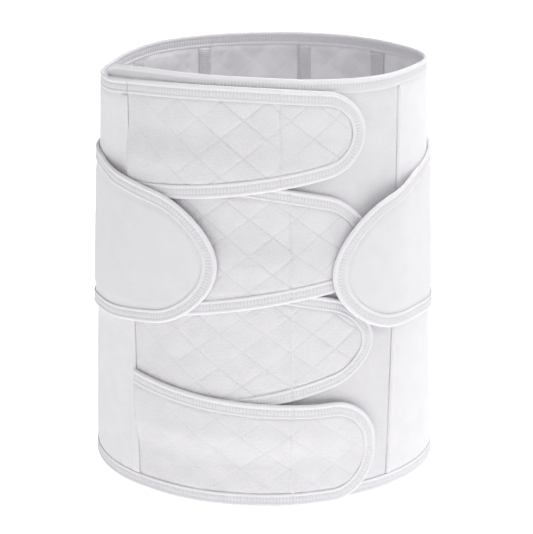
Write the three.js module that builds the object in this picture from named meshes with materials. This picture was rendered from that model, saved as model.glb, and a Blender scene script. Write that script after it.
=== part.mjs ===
// Abdominal binder: a soft wrap closed round the waist, with four quilted bands and two side straps.
// Millimetres, +Z up. The front of the binder faces -Y. Left, at -X, and right are as seen from there.
// A place on the wrap is an angle in degrees, 0 at the front and growing towards +X, and a height.
import * as THREE from 'three';

// Driving sizes of the closed wrap
const HEIGHT = 305;
const HALF_WIDTH_TOP = 115.5;
const HALF_WIDTH_BOTTOM = 128;
const DEPTH_SHARE = 0.85;

// Cloth and its folded edge binding
const CLOTH = 2;
const PRESSED_CLOTH = 1;
const BINDING_LEAF = 0.6;
const BINDING_WIDTH = 10;
const CLOTH_STEP = 1;

// Clearances between pieces that touch
const CLEARANCE = 0.3;
const LAYER_CLEARANCE = 0.4;
const STRIP_END_CLEARANCE = 0.7;

// Narrow strips and tapes
const SEAM_STRIP = { width: 8, thickness: 0.8 };
const SEAM_RIDGE = { width: 5, thickness: 0.8 };
const SEAM_TAPE = { width: 14, thickness: 0.8 };
const STAY_CHANNEL = { width: 11, thickness: 1.6 };

// Angles of the wrap, in degrees
const UNDERLAP_END = -76;
const LEFT_SEAM = { top: -53.5, bottom: -45 };
const RIGHT_SEAM = { top: 51, bottom: 43 };
const BACK_CENTRE = 185;
const BACK_SEAM_SPREAD = 53;
const STAY_SPREAD = 20;
const WRAP_RISE = { from: 256, to: 278 };

// Mesh fineness
const ANGLE_STEP = 6;
const CLOSEST_STATION = 1.5;
const ROUND_END_STEPS = 5;
const BAND_ROWS = 4;
const STRAP_ROWS = 1;
const PANEL_ROWS = 2;
const STRIP_ROWS = 3;

// Rim height round the wrap, as a share of HEIGHT
const RIM = [
  { angle: -90, share: 0.955 },
  { angle: -76, share: 0.982 },
  { angle: -66, share: 0.998 },
  { angle: -50, share: 1.006 },
  { angle: -36, share: 1.008 },
  { angle: -5, share: 1.003 },
  { angle: 20, share: 0.995 },
  { angle: 42, share: 0.994 },
  { angle: 66, share: 1 },
  { angle: 112, share: 0.996 },
  { angle: 150, share: 1.002 },
  { angle: 190, share: 1 },
  { angle: 225, share: 0.995 },
  { angle: 246, share: 0.981 },
  { angle: 264, share: 0.97 },
  { angle: 290, share: 0.967 },
  { angle: 312, share: 0.979 },
];

// Bands and straps, from their sewn root to their round tip. bend is where the round end begins.
// The edge heights are shares of HEIGHT at the root, half way and at the tip.
const BANDS = [
  { name: 'band_1', bend: 20.5, tip: 33.7, top: [0.977, 0.984, 0.959], low: [0.718, 0.744, 0.8] },
  { name: 'band_2', bend: 20, tip: 35.5, top: [0.787, 0.774, 0.708], low: [0.43, 0.482, 0.534] },
  { name: 'band_3', bend: 22, tip: 36.7, top: [0.564, 0.541, 0.472], low: [0.197, 0.239, 0.318] },
  { name: 'band_4', bend: 21, tip: 37.2, top: [0.298, 0.261, 0.252], low: [0, 0, 0] },
];
const STRAPS = [
  { name: 'left', root: 215, bend: 323, tip: 345, top: [0.793, 0.787, 0.708], low: [0.393, 0.397, 0.456] },
  { name: 'right', root: 150, bend: 42, tip: 20.3, top: [0.79, 0.787, 0.681], low: [0.387, 0.39, 0.433] },
];

// Where a band rides up one layer over its neighbour: level is 1 at full and 0 at none.
const BAND_LIFTS = [
  { name: 'band_1', none: 0.885, full: 0.8 },
  { name: 'band_2', none: 0.66, full: 0.575 },
  { name: 'band_3', none: 0, full: 0 },
  { name: 'band_4', none: 0.1, full: 0.18 },
];
const STRAP_LIFTS = [
  { name: 'left', layers: 1, none: 294, full: 307 },
  { name: 'right', layers: 2, none: 60, full: 40 },
];

const COLOURS = { quilted: '#e6e6ea', stretch: '#e9e9ec', loop: '#dfdfe4', strap: '#ececef', binding: '#f0f0f2' };

const BINDING_THICKNESS = PRESSED_CLOTH + 2 * (CLEARANCE + BINDING_LEAF);
const LAYER_PITCH = Math.max(CLOTH, BINDING_THICKNESS) + LAYER_CLEARANCE;
const CLOTH_INSET = BINDING_LEAF + CLEARANCE;
const BINDING_END_INSET = BINDING_WIDTH + CLEARANCE;
const FIELD_INSET = BINDING_END_INSET + CLOTH_STEP;
const BASE_LEVEL = -CLOTH / 2;

function halfWidth(z) {
  return HALF_WIDTH_BOTTOM + (HALF_WIDTH_TOP - HALF_WIDTH_BOTTOM) * z / HEIGHT;
}

// Degrees along the front that a length in millimetres covers at a height
function degreesFor(length, z) {
  return THREE.MathUtils.radToDeg(length / halfWidth(z));
}

// The point at an angle and a height that lies `out` beyond the outer face of the base layer
function place(angle, z, out) {
  const turn = THREE.MathUtils.degToRad(angle);
  const half = halfWidth(z);
  return new THREE.Vector3((half + out) * Math.sin(turn), -(half * DEPTH_SHARE + out) * Math.cos(turn), z);
}

// Smooth step from 0 at `none` to 1 at `full`
function ramp(value, none, full) {
  if (none === full) return 0;
  const share = THREE.MathUtils.clamp((value - none) / (full - none), 0, 1);
  return share * share * (3 - 2 * share);
}

// Parabola through three heights at the root, half way and at the tip
function parabola(heights, share) {
  const [first, middle, last] = heights;
  const a = first * (1 - share) * (1 - 2 * share);
  const b = 4 * middle * share * (1 - share);
  const c = last * share * (2 * share - 1);
  return HEIGHT * (a + b + c);
}

// Height of the rim at an angle, on a smooth curve through the table
function rim(angle) {
  const last = RIM.length - 1;
  let row = RIM.findIndex((entry) => entry.angle > angle) - 1;
  if (row < 0) row = angle < RIM[0].angle ? 0 : last - 1;
  const before = RIM[Math.max(row - 1, 0)].share;
  const start = RIM[row].share;
  const end = RIM[row + 1].share;
  const after = RIM[Math.min(row + 2, last)].share;
  const t = (angle - RIM[row].angle) / (RIM[row + 1].angle - RIM[row].angle);
  const slopeIn = (end - before) / 2;
  const slopeOut = (after - start) / 2;
  const curve = 2 * start - 2 * end + slopeIn + slopeOut;
  const bend = 3 * end - 3 * start - 2 * slopeIn - slopeOut;
  return HEIGHT * (((curve * t + bend) * t + slopeIn) * t + start);
}

function leftSeam(z) {
  return THREE.MathUtils.lerp(LEFT_SEAM.bottom, LEFT_SEAM.top, z / HEIGHT);
}

function rightSeam(z) {
  return THREE.MathUtils.lerp(RIGHT_SEAM.bottom, RIGHT_SEAM.top, z / HEIGHT);
}

// The wrap is a spiral: the left side rises one layer to close over the underlap
function wrapLevel(angle) {
  return BASE_LEVEL + LAYER_PITCH * ramp(angle, WRAP_RISE.from, WRAP_RISE.to);
}

// Angles from one end to the other, with the shared stations between them
function stations(from, to) {
  const low = Math.min(from, to);
  const high = Math.max(from, to);
  const angles = [low];
  for (let angle = Math.ceil(low / ANGLE_STEP) * ANGLE_STEP; angle < high; angle += ANGLE_STEP) {
    if (angle - low > CLOSEST_STATION && high - angle > CLOSEST_STATION) angles.push(angle);
  }
  angles.push(high);
  return from < to ? angles : angles.reverse();
}

// Turns a mesh's faces outwards and makes its geometry
function solid(points, faces) {
  let volume = 0;
  for (const [a, b, c] of faces) volume += points[a].dot(points[b].clone().cross(points[c]));
  const index = volume > 0 ? faces : faces.map(([a, b, c]) => [a, c, b]);
  const geometry = new THREE.BufferGeometry();
  geometry.setAttribute('position', new THREE.Float32BufferAttribute(points.flatMap((p) => p.toArray()), 3));
  geometry.setIndex(index.flat());
  geometry.computeVertexNormals();
  return geometry;
}

// A sheet of cloth: patches of places on the wrap, made two faces apart and closed round every edge.
// A place has an angle, a height and half the thickness there; level gives its middle surface.
function clothGeometry(patches, level) {
  const points = [];
  const numbers = new Map();
  const number = (spot) => {
    const key = `${spot.angle.toFixed(4)},${spot.z.toFixed(4)}`;
    if (!numbers.has(key)) {
      const middle = level(spot.angle, spot.z);
      numbers.set(key, points.length);
      points.push(place(spot.angle, spot.z, middle + spot.half), place(spot.angle, spot.z, middle - spot.half));
    }
    return numbers.get(key);
  };
  const faces = [];
  const edges = new Map();
  for (const patch of patches) {
    const corners = patch.map(number).filter((corner, i, all) => corner !== all[(i + 1) % all.length]);
    for (let i = 1; i < corners.length - 1; i += 1) {
      faces.push([corners[0], corners[i], corners[i + 1]]);
      faces.push([corners[0] + 1, corners[i + 1] + 1, corners[i] + 1]);
    }
    if (corners.length > 2) {
      corners.forEach((corner, i) => {
        const next = corners[(i + 1) % corners.length];
        if (!edges.delete(`${next},${corner}`)) edges.set(`${corner},${next}`, [corner, next]);
      });
    }
  }
  for (const [from, to] of edges.values()) {
    faces.push([from, from + 1, to + 1], [from, to + 1, to]);
  }
  return solid(points, faces);
}

// Patches between neighbouring lines of places
function patchesBetween(lines) {
  const patches = [];
  for (let i = 0; i < lines.length - 1; i += 1) {
    for (let j = 0; j < lines[i].length - 1; j += 1) {
      patches.push([lines[i][j], lines[i + 1][j], lines[i + 1][j + 1], lines[i][j + 1]]);
    }
  }
  return patches;
}

// The folded binding: a channel section swept along an edge.
// edge(i, inset) is the place of step i at a distance in from the edge.
function bindingGeometry(steps, edge, level) {
  const outer = BINDING_THICKNESS / 2;
  const inner = outer - BINDING_LEAF;
  const section = [
    { inset: BINDING_WIDTH, out: outer },
    { inset: 0, out: outer },
    { inset: 0, out: -outer },
    { inset: BINDING_WIDTH, out: -outer },
    { inset: BINDING_WIDTH, out: -inner },
    { inset: BINDING_LEAF, out: -inner },
    { inset: BINDING_LEAF, out: inner },
    { inset: BINDING_WIDTH, out: inner },
  ];
  const size = section.length;
  const points = [];
  for (let i = 0; i <= steps; i += 1) {
    for (const corner of section) {
      const spot = edge(i, corner.inset);
      points.push(place(spot.angle, spot.z, level(spot.angle, spot.z) + corner.out));
    }
  }
  const faces = [];
  for (let i = 0; i < steps; i += 1) {
    for (let j = 0; j < size; j += 1) {
      const a = i * size + j;
      const b = i * size + (j + 1) % size;
      faces.push([a, b, b + size], [a, b + size, a + size]);
    }
  }
  const contour = section.map((corner) => new THREE.Vector2(corner.inset, corner.out));
  const end = steps * size;
  const clockwise = THREE.ShapeUtils.isClockWise(contour);
  for (const [a, b, c] of THREE.ShapeUtils.triangulateShape(contour, [])) {
    const cap = clockwise ? [a, b, c] : [c, b, a];
    faces.push(cap, [end + cap[0], end + cap[2], end + cap[1]]);
  }
  return solid(points, faces);
}

// Insets of the rows across a bound edge, from the edge to the full cloth
const EDGE_ROWS = [
  { inset: CLOTH_INSET, half: PRESSED_CLOTH / 2 },
  { inset: BINDING_END_INSET, half: PRESSED_CLOTH / 2 },
  { inset: FIELD_INSET, half: CLOTH / 2 },
];

// Column angles of a panel between two edges that may slant: upright on the shared stations, and
// fanned out between the last of these and a slanting edge. Each is a function of the height.
function panelColumns(from, to) {
  const start = Math.max(from(0), from(HEIGHT)) + CLOSEST_STATION;
  const end = Math.min(to(0), to(HEIGHT)) - CLOSEST_STATION;
  const upright = stations(start, end).slice(1, -1).map((angle) => () => angle);
  const fan = (first, second) => {
    const widest = Math.max(second(0) - first(0), second(HEIGHT) - first(HEIGHT));
    const count = Math.ceil(widest / ANGLE_STEP);
    const share = (k) => (z) => THREE.MathUtils.lerp(first(z), second(z), k / count);
    return Array.from({ length: count }, (_, k) => share(k));
  };
  return [...fan(from, upright[0]), ...upright.slice(0, -1), ...fan(upright.at(-1), to), to];
}

// A body panel between two upright edges, bound along its rim and its hem
function panelGeometry(from, to, level) {
  const columns = panelColumns(from, to).map((angleAt) => {
    const top = rim(angleAt(HEIGHT));
    const spot = (z, half) => ({ angle: angleAt(z), z, half });
    const spots = EDGE_ROWS.map((row) => spot(row.inset, row.half));
    for (let i = 1; i < PANEL_ROWS; i += 1) {
      spots.push(spot(THREE.MathUtils.lerp(FIELD_INSET, top - FIELD_INSET, i / PANEL_ROWS), CLOTH / 2));
    }
    for (const row of [...EDGE_ROWS].reverse()) spots.push(spot(top - row.inset, row.half));
    return spots;
  });
  return clothGeometry(patchesBetween(columns), level);
}

// A narrow strip that stands upright on the wrap between its rim and hem bindings, centred on an angle
function stripGeometry(angleAt, size, level, outer) {
  const low = BINDING_END_INSET + STRIP_END_CLEARANCE;
  const lines = [-1 / 2, 0, 1 / 2].map((side) => {
    const sideAngle = (z) => angleAt(z) + degreesFor(side * size.width, z);
    const top = rim(sideAngle(HEIGHT)) - low;
    return Array.from({ length: STRIP_ROWS + 1 }, (_, row) => {
      const z = THREE.MathUtils.lerp(low, top, row / STRIP_ROWS);
      return { angle: sideAngle(z), z, half: size.thickness / 2 };
    });
  });
  const lift = (CLOTH / 2 + CLEARANCE + size.thickness / 2) * (outer ? 1 : -1);
  return clothGeometry(patchesBetween(lines), (angle) => level(angle) + lift);
}

// A tongue of cloth with a round free end, such as a band or a strap.
// rootAt gives the angle of its sewn end at a height. The result places its edge and its rows.
function tongue(shape, rootAt) {
  const rootAngle = rootAt(HEIGHT * (shape.top[1] + shape.low[1]) / 2);
  const share = (angle) => (angle - rootAngle) / (shape.tip - rootAngle);
  const topAt = (angle) => parabola(shape.top, share(angle));
  const lowAt = (angle) => parabola(shape.low, share(angle));
  const straight = stations(rootAngle, shape.bend);
  const side = Math.sign(shape.tip - shape.bend);
  const half = straight.length - 1 + ROUND_END_STEPS;
  const edge = (step, inset) => {
    const fromTop = step <= half;
    const along = fromTop ? step : 2 * half - step;
    const sign = fromTop ? 1 : -1;
    const turn = Math.max(along - straight.length + 1, 0) / ROUND_END_STEPS * Math.PI / 2;
    let angle = straight[Math.min(along, straight.length - 1)];
    if (turn > 0) {
      const reach = Math.abs(shape.tip - shape.bend) - degreesFor(inset, HEIGHT * shape.top[1]);
      angle = shape.bend + side * reach * Math.sin(turn);
    }
    const middle = (topAt(angle) + lowAt(angle)) / 2;
    const depth = (topAt(angle) - lowAt(angle)) / 2 - inset;
    const z = along === half ? middle : middle + sign * depth * Math.cos(turn);
    return { angle: along === 0 ? rootAt(z) : angle, z };
  };
  return { edge, half, steps: 2 * half };
}

function tongueCloth(piece, level, rows) {
  const patches = [];
  for (let ring = 0; ring < EDGE_ROWS.length - 1; ring += 1) {
    for (let i = 0; i < piece.steps; i += 1) {
      const spots = [[i, ring], [i, ring + 1], [i + 1, ring + 1], [i + 1, ring]].map(([step, row]) => (
        { ...piece.edge(step, EDGE_ROWS[row].inset), half: EDGE_ROWS[row].half }));
      patches.push(spots);
    }
  }
  const columns = [];
  for (let i = 0; i <= piece.half; i += 1) {
    const top = piece.edge(i, FIELD_INSET);
    const low = piece.edge(piece.steps - i, FIELD_INSET);
    const column = [];
    for (let row = 0; row <= rows; row += 1) {
      const share = row / rows;
      const angle = THREE.MathUtils.lerp(low.angle, top.angle, share);
      column.push({ angle, z: THREE.MathUtils.lerp(low.z, top.z, share), half: CLOTH / 2 });
    }
    columns.push(column);
  }
  const fill = patchesBetween(columns);
  return clothGeometry([...patches, ...fill], level);
}

function addMesh(group, name, geometry, colour) {
  const material = new THREE.MeshStandardMaterial({ color: colour, roughness: 0.9, metalness: 0 });
  const mesh = new THREE.Mesh(geometry, material);
  mesh.name = name;
  group.add(mesh);
}

const seamGap = degreesFor(CLEARANCE / 2, HEIGHT / 2);
const backSeams = { right: BACK_CENTRE - BACK_SEAM_SPREAD, left: BACK_CENTRE + BACK_SEAM_SPREAD };

// The wrap's outer end, where the left side meets the bands
function wrapEnd(z) {
  return leftSeam(z) + 360 - seamGap;
}

function addPanels(group) {
  const rightEdge = (sign) => (z) => rightSeam(z) + sign * seamGap;
  const at = (angle) => () => angle;
  addMesh(group, 'front_underlap', panelGeometry(at(UNDERLAP_END), rightEdge(-1), wrapLevel), COLOURS.loop);
  addMesh(group, 'right_side_panel',
    panelGeometry(rightEdge(1), at(backSeams.right - seamGap), wrapLevel), COLOURS.stretch);
  addMesh(group, 'back_panel',
    panelGeometry(at(backSeams.right + seamGap), at(backSeams.left - seamGap), wrapLevel), COLOURS.stretch);
  addMesh(group, 'left_side_panel', panelGeometry(at(backSeams.left + seamGap), wrapEnd, wrapLevel), COLOURS.stretch);
}

function addRimBindings(group) {
  const around = (z) => stations(UNDERLAP_END, wrapEnd(z));
  const rimAngles = around(HEIGHT);
  const rimEdge = (i, inset) => {
    const z = rim(rimAngles[i]) - inset;
    return { angle: i === rimAngles.length - 1 ? wrapEnd(z) : rimAngles[i], z };
  };
  const hemAngles = around(0);
  const hemEdge = (i, inset) => ({ angle: i === hemAngles.length - 1 ? wrapEnd(inset) : hemAngles[i], z: inset });
  addMesh(group, 'top_binding', bindingGeometry(rimAngles.length - 1, rimEdge, wrapLevel), COLOURS.binding);
  addMesh(group, 'bottom_binding', bindingGeometry(hemAngles.length - 1, hemEdge, wrapLevel), COLOURS.binding);
}

function addStrips(group) {
  const onRight = (z) => rightSeam(z) + degreesFor(SEAM_RIDGE.width / 2 + CLEARANCE, z);
  const onLeft = (z) => leftSeam(z) + 360 - degreesFor(SEAM_STRIP.width / 2 + CLEARANCE, z);
  addMesh(group, 'front_seam_strip_right', stripGeometry(onRight, SEAM_RIDGE, wrapLevel, true), COLOURS.stretch);
  addMesh(group, 'front_seam_strip_left', stripGeometry(onLeft, SEAM_STRIP, wrapLevel, true), COLOURS.stretch);
  for (const [name, sign] of [['right', -1], ['left', 1]]) {
    const seam = () => BACK_CENTRE + sign * BACK_SEAM_SPREAD;
    const stay = () => BACK_CENTRE + sign * STAY_SPREAD;
    addMesh(group, `back_seam_tape_${name}`, stripGeometry(seam, SEAM_TAPE, wrapLevel, false), COLOURS.binding);
    addMesh(group, `boning_channel_${name}`, stripGeometry(stay, STAY_CHANNEL, wrapLevel, false), COLOURS.stretch);
  }
}

function addBands(group) {
  BANDS.forEach((band, i) => {
    const lift = BAND_LIFTS[i];
    const level = (angle, z) => BASE_LEVEL + LAYER_PITCH * (1 + ramp(z / HEIGHT, lift.none, lift.full));
    const piece = tongue(band, (z) => leftSeam(z) + seamGap);
    addMesh(group, band.name, tongueCloth(piece, level, BAND_ROWS), COLOURS.quilted);
    addMesh(group, `band_binding_${i + 1}`, bindingGeometry(piece.steps, piece.edge, level), COLOURS.binding);
  });
}

function addStraps(group) {
  STRAPS.forEach((strap, i) => {
    const lift = STRAP_LIFTS[i];
    const level = (angle) => wrapLevel(angle) + LAYER_PITCH * (1 + lift.layers * ramp(angle, lift.none, lift.full));
    const piece = tongue(strap, () => strap.root);
    addMesh(group, `side_strap_${strap.name}`, tongueCloth(piece, level, STRAP_ROWS), COLOURS.strap);
    addMesh(group, `strap_binding_${strap.name}`, bindingGeometry(piece.steps, piece.edge, level), COLOURS.binding);
  });
}

const binder = new THREE.Group();
addPanels(binder);
addRimBindings(binder);
addStrips(binder);
addBands(binder);
addStraps(binder);

// The origin is under the middle of the whole binder
const extent = new THREE.Box3().setFromObject(binder);
const centre = extent.getCenter(new THREE.Vector3());
binder.position.set(-centre.x, -centre.y, 0);

export default binder;
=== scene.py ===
"""Looks of the abdominal binder: quilted bands, stretch panels, straps, folded bindings and stitching.

Sizes are in millimetres until a mesh is made. A place on the wrap is an angle in degrees, 0 at the
front and growing towards +X, and a height. Left and right are as seen from the front.
"""

import functools
import math

import bmesh
import bpy
import numpy as np
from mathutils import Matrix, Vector


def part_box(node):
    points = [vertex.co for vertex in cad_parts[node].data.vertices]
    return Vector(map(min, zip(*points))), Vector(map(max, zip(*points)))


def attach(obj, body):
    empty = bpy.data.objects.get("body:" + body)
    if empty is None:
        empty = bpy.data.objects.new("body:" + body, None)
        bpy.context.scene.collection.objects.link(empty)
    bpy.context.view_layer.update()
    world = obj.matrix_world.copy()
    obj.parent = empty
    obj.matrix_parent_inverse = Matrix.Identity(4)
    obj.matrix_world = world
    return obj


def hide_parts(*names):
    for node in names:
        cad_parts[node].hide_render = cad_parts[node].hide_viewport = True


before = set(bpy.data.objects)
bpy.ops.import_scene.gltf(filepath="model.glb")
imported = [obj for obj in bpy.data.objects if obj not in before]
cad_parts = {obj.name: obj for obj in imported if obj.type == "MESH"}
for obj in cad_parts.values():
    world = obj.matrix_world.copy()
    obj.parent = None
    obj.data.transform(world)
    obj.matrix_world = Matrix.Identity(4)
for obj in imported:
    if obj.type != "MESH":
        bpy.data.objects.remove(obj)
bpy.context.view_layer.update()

MM = 0.001
BODY = "root"

# The closed wrap, as built in the frame
HEIGHT = 305.0
HALF_WIDTH_TOP = 115.5
HALF_WIDTH_BOTTOM = 128.0
DEPTH_SHARE = 0.85
CLOTH = 2.0
PRESSED_CLOTH = 1.0
BINDING_WIDTH = 10.0
BINDING_THICKNESS = 2.8
LAYER_PITCH = 3.2
BASE_LEVEL = -CLOTH / 2
HEM_FACE = BASE_LEVEL + BINDING_THICKNESS / 2
CLOTH_INSET = 0.9
UNDERLAP_END = -76.0
LEFT_SEAM = {"top": -53.5, "bottom": -45.0}
RIGHT_SEAM = {"top": 51.0, "bottom": 43.0}
BACK_CENTRE = 185.0
BACK_SEAM_SPREAD = 53.0
STAY_SPREAD = 20.0
WRAP_RISE = {"none": 256.0, "full": 278.0}
SEAM_GAP = 0.02
FULL_TURN = 360.0

# How far a strap settles onto the bare panel, and the share of its climb that a band's tip gives back
SETTLE = 0.6
TIP_REST = 0.45

# Rim height round the wrap: angle, share of HEIGHT
RIM = np.array([
    (-90, 0.955), (-76, 0.982), (-66, 0.998), (-50, 1.006), (-36, 1.008), (-5, 1.003),
    (20, 0.995), (42, 0.994), (66, 1.0), (112, 0.996), (150, 1.002), (190, 1.0),
    (225, 0.995), (246, 0.981), (264, 0.97), (290, 0.967), (312, 0.979),
])

# Bands and straps run from their sewn root to a round tip. bend is the angle where the round end
# begins. Edge heights are shares of HEIGHT at the root, half way and at the tip. lift says where a
# piece climbs over the one below it: heights as shares for a band, angles for a strap, whose layers
# says over how many. rest says between which angles a band's tip comes down again. Two equal values
# mean that it doesn't. node is a crossing of the quilting: angle, share of HEIGHT. quilting is its
# strength. seam is the angle of the upright seam, and seam_ridge the width of its ridge, if it has one.
BANDS = [
    {"name": "band_1", "bend": 20.5, "tip": 33.7, "lift": (0.885, 0.8), "rest": (12.0, 30.0),
     "top": (0.977, 0.984, 0.959), "low": (0.718, 0.744, 0.8),
     "node": (-7.2, 0.91), "quilting": 1.0, "seam": 4.2, "seam_ridge": 0.0},
    {"name": "band_2", "bend": 20.0, "tip": 35.5, "lift": (0.66, 0.575), "rest": (0.0, 0.0),
     "top": (0.787, 0.774, 0.708), "low": (0.43, 0.482, 0.534),
     "node": (-5.5, 0.691), "quilting": 0.85, "seam": 7.4, "seam_ridge": 0.0},
    {"name": "band_3", "bend": 22.0, "tip": 36.7, "lift": (0.0, 0.0), "rest": (0.0, 0.0),
     "top": (0.564, 0.541, 0.472), "low": (0.197, 0.239, 0.318),
     "node": (7.2, 0.381), "quilting": 0.8, "seam": 8.0, "seam_ridge": 2.6},
    {"name": "band_4", "bend": 21.0, "tip": 37.2, "lift": (0.1, 0.18), "rest": (12.0, 30.0),
     "top": (0.298, 0.261, 0.252), "low": (0.0, 0.0, 0.0),
     "node": (-8.0, 0.178), "quilting": 0.5, "seam": 8.2, "seam_ridge": 2.6},
]
STRAPS = [
    {"name": "left", "root": 215.0, "bend": 323.0, "tip": 345.0, "layers": 1, "lift": (286.0, 307.0),
     "top": (0.793, 0.787, 0.708), "low": (0.393, 0.397, 0.456)},
    {"name": "right", "root": 150.0, "bend": 42.0, "tip": 20.3, "layers": 2, "lift": (63.0, 40.0),
     "top": (0.79, 0.787, 0.681), "low": (0.387, 0.39, 0.433)},
]

# Diamond quilting of the bands and the lining: how far the padding puffs up and the lines sink in,
# and how wide both reach
DIAMOND_WIDTH = 31.5
DIAMOND_HEIGHT = 25.0
QUILT_SPACING = 1 / math.hypot(1 / DIAMOND_WIDTH, 1 / DIAMOND_HEIGHT)
QUILT_PUFF = 0.3
QUILT_CREASE = 0.42
PUFF_REACH = 5.0
CREASE_REACH = 0.7
LINING_PUFF = 0.4
LINING_CREASE = 0.45
LINING_CREASE_REACH = 1.5
LINING_NODE = (185.0, 0.85)
# Strength of the painted shade and the bump on the lining's quilting lines
LINING_QUILTING = 0.6
STITCHES_PER_DIAMOND = 8

# How far in from a cloth's edge its relief begins and is full, so that it lies flat in the binding
RELIEF = {
    "panel": (6.0, 14.0),
    "seam": (8.0, 12.0),
    "lining": (8.0, 12.5),
    "band": (8.0, 12.5),
    "strap": (8.0, 13.0),
}

# Thickness of the thread, and the length and pitch of the stitches, in plain rows and in bindings
THREAD = 0.42
QUILT_THREAD = 0.3
STITCH = 2.6
STITCH_PITCH = 3.2
LADDER_STITCH = 1.7
LADDER_PITCH = 2.3

hem_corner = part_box("bottom_binding")[1] / MM
SHIFT_X = hem_corner.x - (HALF_WIDTH_BOTTOM + HEM_FACE)
SHIFT_Y = hem_corner.y - (HALF_WIDTH_BOTTOM * DEPTH_SHARE + HEM_FACE)


# The surface of the wrap

# How far the soft wrap stands in or out of the plain oval, in three waves round it
SWAY = {"wide": 0.7, "slow": 0.45, "small": 0.2}


def half_width(z):
    return HALF_WIDTH_BOTTOM + (HALF_WIDTH_TOP - HALF_WIDTH_BOTTOM) * z / HEIGHT


def sway(angle, z):
    """How far the whole soft wrap stands in or out from the plain oval."""
    turn = np.radians(angle)
    up = z / HEIGHT
    wide = SWAY["wide"] * np.sin(3 * turn + 0.6) * np.sin(math.pi * up)
    slow = SWAY["slow"] * np.sin(5 * turn + 1.9 + 2.2 * up)
    small = SWAY["small"] * np.sin(11 * turn - 3.1 * up) * np.cos(2.3 * up)
    return wide + slow + small


def place(angle, z, out):
    """Points at an angle and a height, `out` beyond the base layer's outer face."""
    turn = np.radians(angle)
    reach = half_width(z)
    stand = out + sway(angle, z)
    x = (reach + stand) * np.sin(turn) + SHIFT_X
    y = -(reach * DEPTH_SHARE + stand) * np.cos(turn) + SHIFT_Y
    return np.stack(np.broadcast_arrays(x, y, z), -1)


def oval_lengths(angles):
    """Length along the oval at half height, from the front to each of the evenly spaced angles."""
    reach = half_width(HEIGHT / 2)
    turn = np.radians(angles)
    steps = np.hypot(reach * np.cos(turn), reach * DEPTH_SHARE * np.sin(turn)) * (turn[1] - turn[0])
    lengths = np.cumsum(steps)
    return lengths - np.interp(0.0, angles, lengths)


OVAL_ANGLES = np.arange(-120.0, 400.0, 0.25)
OVAL_LENGTHS = oval_lengths(OVAL_ANGLES)


def along(angle):
    """Length along the cloth at an angle, counted from the front."""
    return np.interp(angle, OVAL_ANGLES, OVAL_LENGTHS)


def angle_at(length):
    return np.interp(length, OVAL_LENGTHS, OVAL_ANGLES)


def ramp(value, none, full):
    """0 on one side of none, 1 on the other side of full, smooth between them."""
    if none == full:
        return np.zeros_like(value)
    share = np.clip((value - none) / (full - none), 0, 1)
    return share * share * (3 - 2 * share)


def parabola(heights, share):
    """Height of an edge, on a curve through its heights at shares 0, a half and 1."""
    first, middle, last = heights
    return HEIGHT * (first * (1 - share) * (1 - 2 * share) + 4 * middle * share * (1 - share)
                     + last * share * (2 * share - 1))


def rim(angle):
    """Height of the rim, on a smooth curve through the table."""
    angle = np.asarray(angle, float)
    last = len(RIM) - 1
    row = np.clip(np.searchsorted(RIM[:, 0], angle, "right") - 1, 0, last - 1)
    before, start = RIM[np.maximum(row - 1, 0), 1], RIM[row, 1]
    end, after = RIM[row + 1, 1], RIM[np.minimum(row + 2, last), 1]
    t = (angle - RIM[row, 0]) / (RIM[row + 1, 0] - RIM[row, 0])
    slope_in, slope_out = (end - before) / 2, (after - start) / 2
    curve = 2 * start - 2 * end + slope_in + slope_out
    bend = 3 * end - 3 * start - 2 * slope_in - slope_out
    return HEIGHT * (((curve * t + bend) * t + slope_in) * t + start)


def seam_angle(seam, z):
    """Angle of a slanted front seam at a height."""
    return seam["bottom"] + (seam["top"] - seam["bottom"]) * z / HEIGHT


def wrap_end(z):
    """Angle at which the left side panel ends, a full turn on from the left front seam."""
    return seam_angle(LEFT_SEAM, z) + FULL_TURN - SEAM_GAP


def wrap_level(angle, z=0.0):
    """Stand-out of the wrap's middle, which climbs over its own underlap."""
    rise = ramp(np.asarray(angle, float) + 0 * z, WRAP_RISE["none"], WRAP_RISE["full"])
    return BASE_LEVEL + LAYER_PITCH * rise


def band_level(band):
    """A band lies on the underlap, climbs over its neighbour, and its tip comes down past it."""
    def level(angle, z):
        climb = ramp((z + 0 * angle) / HEIGHT, *band["lift"])
        rest = TIP_REST * ramp(angle + 0.0 * z, *band["rest"])
        return BASE_LEVEL + LAYER_PITCH * (1 + climb * (1 - rest))
    return level


def strap_level(strap):
    """A strap settles onto the bare panel and climbs over the bands."""
    def level(angle, z):
        climb = ramp(np.asarray(angle, float) + 0 * z, *strap["lift"])
        return wrap_level(angle, z) + LAYER_PITCH * (1 + strap["layers"] * climb) - SETTLE * (1 - climb)
    return level


def rumple(u, v, size, seed):
    """Smooth uneven wave between about -1 and 1, with features of a size in millimetres.

    Its plain numbers only scatter the directions, lengths and starts of five waves.
    """
    total = 0
    for k in range(5):
        turn = 1.3 * k + 2.1 * seed
        scale = 2 * math.pi / (size * (0.7 + 0.31 * ((3 * k + seed) % 5)))
        total = total + np.sin(scale * (u * math.cos(turn) + v * math.sin(turn)) + 5.1 * k + seed)
    return total / 3


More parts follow.
